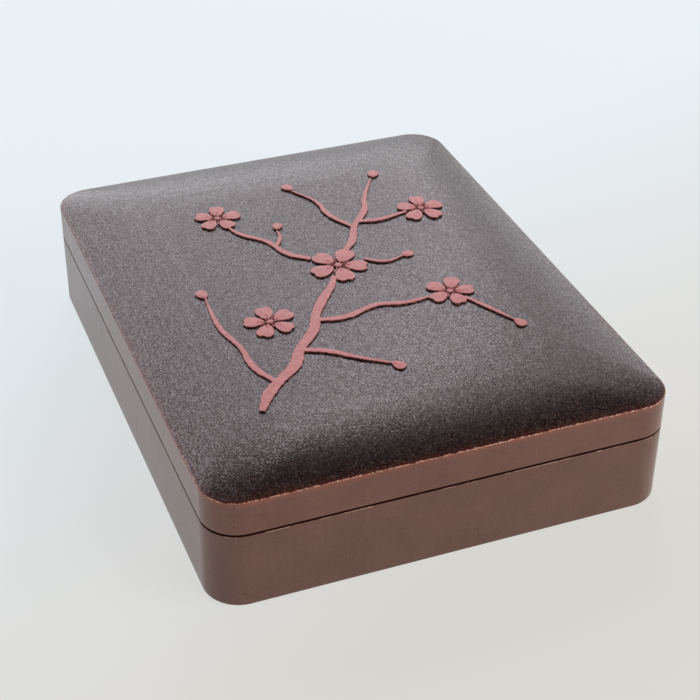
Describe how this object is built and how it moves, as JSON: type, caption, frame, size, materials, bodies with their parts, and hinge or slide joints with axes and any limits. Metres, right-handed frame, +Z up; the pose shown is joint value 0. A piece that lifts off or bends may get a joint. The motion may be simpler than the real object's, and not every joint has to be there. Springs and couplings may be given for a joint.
{
  "type": "writing box",
  "caption": "Low lacquered writing box with rounded corners and a crowned lift-off lid, holding an ink stone, ink stick, water dropper and brushes.",
  "frame": {"origin": "middle of the foot, on the surface that the box stands on", "axes": "+Z up, +Y from the front edge to the back edge along the box's length, +X to the right across its width"},
  "size_m": [0.1876, 0.24, 0.0548],
  "materials": {
    "brown_lacquer": "satin brown lacquer over wood",
    "stone_lacquer": "fine grained dark lacquer over wood, red at worn edges",
    "red_lacquer": "flat raised coral red lacquer",
    "black_lacquer": "smooth black lacquer over wood",
    "slate": null,
    "ink": "pressed soot and glue",
    "brass": "aged brass sheet",
    "bamboo": "polished bamboo",
    "horn": "polished dark horn",
    "hair": "soft goat hair"
  },
  "bodies": {
    "box": {"wall_front": "brown_lacquer", "wall_back": "brown_lacquer", "wall_left": "brown_lacquer", "wall_right": "brown_lacquer", "floor_board": "black_lacquer", "lip_front": "black_lacquer", "lip_back": "black_lacquer", "lip_left": "black_lacquer", "lip_right": "black_lacquer"},
    "lid": {"rail_front": "brown_lacquer", "rail_back": "brown_lacquer", "rail_left": "brown_lacquer", "rail_right": "brown_lacquer", "crown_panel": "stone_lacquer", "plum_relief": "red_lacquer"},
    "tray": {"tray_floor": "black_lacquer", "tray_side_left": "black_lacquer", "tray_side_right": "black_lacquer", "tray_end_front": "black_lacquer", "tray_end_back": "black_lacquer", "rest_front": "black_lacquer", "rest_back": "black_lacquer"},
    "board": {"board_base": "black_lacquer", "board_top": "black_lacquer"},
    "stone": {"ink_stone": "slate"},
    "stick": {"ink_stick": "ink"},
    "dropper": {"dropper_base": "brass", "dropper_body": "brass"},
    "large_brush": {"large_handle": "bamboo", "large_end": "horn", "large_collar": "horn", "large_tuft": "hair"},
    "large_brush_cap": {"large_cap": "bamboo"},
    "small_brush": {"small_handle": "bamboo", "small_end": "horn", "small_collar": "horn", "small_tuft": "hair"},
    "small_brush_cap": {"small_cap": "bamboo"}
  },
  "joints": [
    {"name": "lid_lift", "type": "slide", "parent": "box", "child": "lid", "axis": [0, 0, 1], "range_m": [0, 0.16]},
    {"name": "tray_lift", "type": "slide", "parent": "box", "child": "tray", "axis": [0, 0, 1], "range_m": [0, 0.06]},
    {"name": "board_lift", "type": "slide", "parent": "box", "child": "board", "axis": [0, 0, 1], "range_m": [0, 0.05]},
    {"name": "stone_lift", "type": "slide", "parent": "board", "child": "stone", "axis": [0, 0, 1], "range_m": [0, 0.045]},
    {"name": "dropper_lift", "type": "slide", "parent": "board", "child": "dropper", "axis": [0, 0, 1], "range_m": [0, 0.045]},
    {"name": "stick_lift", "type": "slide", "parent": "board", "child": "stick", "axis": [0, 0, 1], "range_m": [0, 0.04]},
    {"name": "large_brush_lift", "type": "slide", "parent": "tray", "child": "large_brush", "axis": [0, 0, 1], "range_m": [0, 0.05]},
    {"name": "small_brush_lift", "type": "slide", "parent": "tray", "child": "small_brush", "axis": [0, 0, 1], "range_m": [0, 0.05]},
    {"name": "large_cap_pull", "type": "slide", "parent": "large_brush", "child": "large_brush_cap", "axis": [0, 1, 0], "range_m": [0, 0.052]},
    {"name": "small_cap_pull", "type": "slide", "parent": "small_brush", "child": "small_brush_cap", "axis": [0, 1, 0], "range_m": [0, 0.042]}
  ],
  "couplings": [
    {"joint": "tray_lift", "follows": "lid_lift", "ratio": 0.375},
    {"joint": "board_lift", "follows": "lid_lift", "ratio": 0.3125},
    {"joint": "stone_lift", "follows": "lid_lift", "ratio": 0.28125},
    {"joint": "dropper_lift", "follows": "lid_lift", "ratio": 0.28125},
    {"joint": "stick_lift", "follows": "lid_lift", "ratio": 0.25},
    {"joint": "large_brush_lift", "follows": "lid_lift", "ratio": 0.3125},
    {"joint": "small_brush_lift", "follows": "lid_lift", "ratio": 0.3125},
    {"joint": "large_cap_pull", "follows": "lid_lift", "ratio": 0.325},
    {"joint": "small_cap_pull", "follows": "lid_lift", "ratio": 0.2625}
  ]
}
